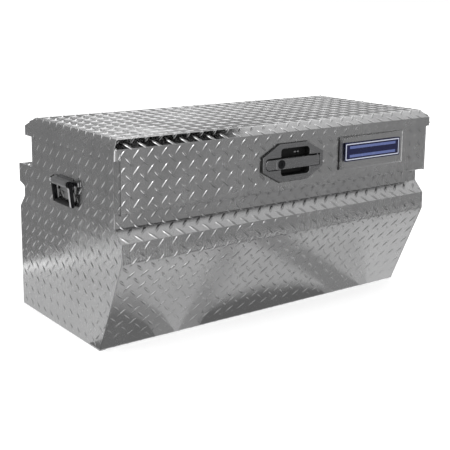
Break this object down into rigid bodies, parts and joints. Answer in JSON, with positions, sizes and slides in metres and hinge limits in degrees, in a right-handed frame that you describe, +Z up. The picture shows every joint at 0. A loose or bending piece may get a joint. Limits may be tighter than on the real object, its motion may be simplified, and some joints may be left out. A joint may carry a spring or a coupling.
{
  "type": "truck tool box",
  "caption": "Wedge-fronted tread-plate truck tool box: rear-hinged lid with a deep front flange, recessed pull latch, lid struts and swinging side handles.",
  "frame": {"origin": "middle of the underside, halfway along the length and halfway between the front band and the back", "axes": "+X along the length towards the end nearer the label, -Y towards the latch side, +Z up"},
  "size_m": [0.953, 0.497, 0.48],
  "materials": {
    "tread_plate": "bright tread plate",
    "sheet_aluminium": "mill finish",
    "hinge_steel": "stainless, brushed",
    "rivet_aluminium": "satin",
    "zinc_steel": "zinc plated",
    "stainless_steel": "dark polished stainless",
    "lock_metal": "dark nickel",
    "black_steel": "gloss black",
    "grip_plastic": "ribbed black vinyl",
    "seal_rubber": "matte",
    "strut_paint": "gloss black",
    "strut_chrome": "polished",
    "label_print": "printed vinyl"
  },
  "bodies": {
    "root": {"front_panel": "tread_plate", "back_panel": "tread_plate", "floor_panel": "tread_plate", "left_end_plate": "tread_plate", "right_end_plate": "tread_plate", "front_rim_rail": "sheet_aluminium", "rear_rim_rail": "sheet_aluminium", "left_rim_rail": "sheet_aluminium", "right_rim_rail": "sheet_aluminium", "weather_seal": "seal_rubber", "hinge_body_leaf": "hinge_steel", "hinge_pin": "hinge_steel", "hinge_body_rivets": "rivet_aluminium", "striker": "zinc_steel", "striker_screws": "zinc_steel", "left_strut_bracket": "zinc_steel", "right_strut_bracket": "zinc_steel", "left_handle_plate": "black_steel", "right_handle_plate": "black_steel", "left_handle_rivets": "rivet_aluminium", "right_handle_rivets": "rivet_aluminium", "left_handle_pin": "black_steel", "right_handle_pin": "black_steel"},
    "lid": {"lid_skin": "tread_plate", "front_lid_stiffener": "sheet_aluminium", "rear_lid_stiffener": "sheet_aluminium", "hinge_lid_leaf": "hinge_steel", "hinge_lid_rivets": "rivet_aluminium", "left_lid_strut_bracket": "zinc_steel", "right_lid_strut_bracket": "zinc_steel", "label_plate": "label_print", "latch_dish": "stainless_steel", "latch_gasket": "seal_rubber", "latch_case": "zinc_steel", "latch_rivets": "rivet_aluminium", "lever_pin": "stainless_steel", "claw_pin": "zinc_steel", "claw_spring": "zinc_steel"},
    "lever": {"pull_lever": "stainless_steel", "lock_bezel": "lock_metal"},
    "lock": {"lock_plug": "lock_metal"},
    "release": {"release_bar": "zinc_steel"},
    "claw": {"latch_claw": "zinc_steel"},
    "bail_left": {"left_bail": "black_steel", "left_bail_grip": "grip_plastic"},
    "bail_right": {"right_bail": "black_steel", "right_bail_grip": "grip_plastic"},
    "strut_tube_left": {"left_strut_tube": "strut_paint"},
    "strut_tube_right": {"right_strut_tube": "strut_paint"},
    "strut_rod_left": {"left_strut_rod": "strut_chrome"},
    "strut_rod_right": {"right_strut_rod": "strut_chrome"}
  },
  "joints": [
    {"name": "lid_hinge", "type": "hinge", "parent": "root", "child": "lid", "pos_m": [0, 0.177, 0.438], "axis": [-1, 0, 0], "range_deg": [0, 75]},
    {"name": "lever_pull", "type": "hinge", "parent": "lid", "child": "lever", "pos_m": [0.076, -0.247, 0.3885], "axis": [0, 0, 1], "range_deg": [0, 35], "stiffness_Nm_per_rad": 0.2, "springref_deg": -17.19},
    {"name": "lock_turn", "type": "hinge", "parent": "lever", "child": "lock", "pos_m": [-0.037, -0.25, 0.3885], "axis": [0, 1, 0], "range_deg": [0, 90]},
    {"name": "release_slide", "type": "slide", "parent": "lid", "child": "release", "axis": [-1, 0, 0], "range_m": [0, 0.012]},
    {"name": "claw_turn", "type": "hinge", "parent": "lid", "child": "claw", "pos_m": [0.015, -0.2295, 0.352], "axis": [0, -1, 0], "range_deg": [0, 30]},
    {"name": "left_bail_swing", "type": "hinge", "parent": "root", "child": "bail_left", "pos_m": [-0.4675, -0.005, 0.355], "axis": [0, 1, 0], "range_deg": [0, 100]},
    {"name": "right_bail_swing", "type": "hinge", "parent": "root", "child": "bail_right", "pos_m": [0.4675, -0.005, 0.355], "axis": [0, -1, 0], "range_deg": [0, 100]},
    {"name": "left_strut_swivel", "type": "hinge", "parent": "root", "child": "strut_tube_left", "pos_m": [-0.42, -0.0093, 0.2699], "axis": [-1, 0, 0], "range_deg": [0, 1.5]},
    {"name": "right_strut_swivel", "type": "hinge", "parent": "root", "child": "strut_tube_right", "pos_m": [0.42, -0.0093, 0.2699], "axis": [-1, 0, 0], "range_deg": [0, 1.5]},
    {"name": "left_strut_slide", "type": "slide", "parent": "strut_tube_left", "child": "strut_rod_left", "axis": [0, 0.5648, 0.8252], "range_m": [0, 0.08]},
    {"name": "right_strut_slide", "type": "slide", "parent": "strut_tube_right", "child": "strut_rod_right", "axis": [0, 0.5648, 0.8252], "range_m": [0, 0.08]}
  ],
  "couplings": [
    {"joint": "release_slide", "follows": "lever_pull", "m_per_rad": 0.01964},
    {"joint": "claw_turn", "follows": "lever_pull", "ratio": 0.857},
    {"joint": "left_strut_swivel", "follows": "lid_hinge", "ratio": 0.02},
    {"joint": "right_strut_swivel", "follows": "lid_hinge", "ratio": 0.02},
    {"joint": "left_strut_slide", "follows": "lid_hinge", "m_per_rad": 0.06081},
    {"joint": "right_strut_slide", "follows": "lid_hinge", "m_per_rad": 0.06081}
  ]
}
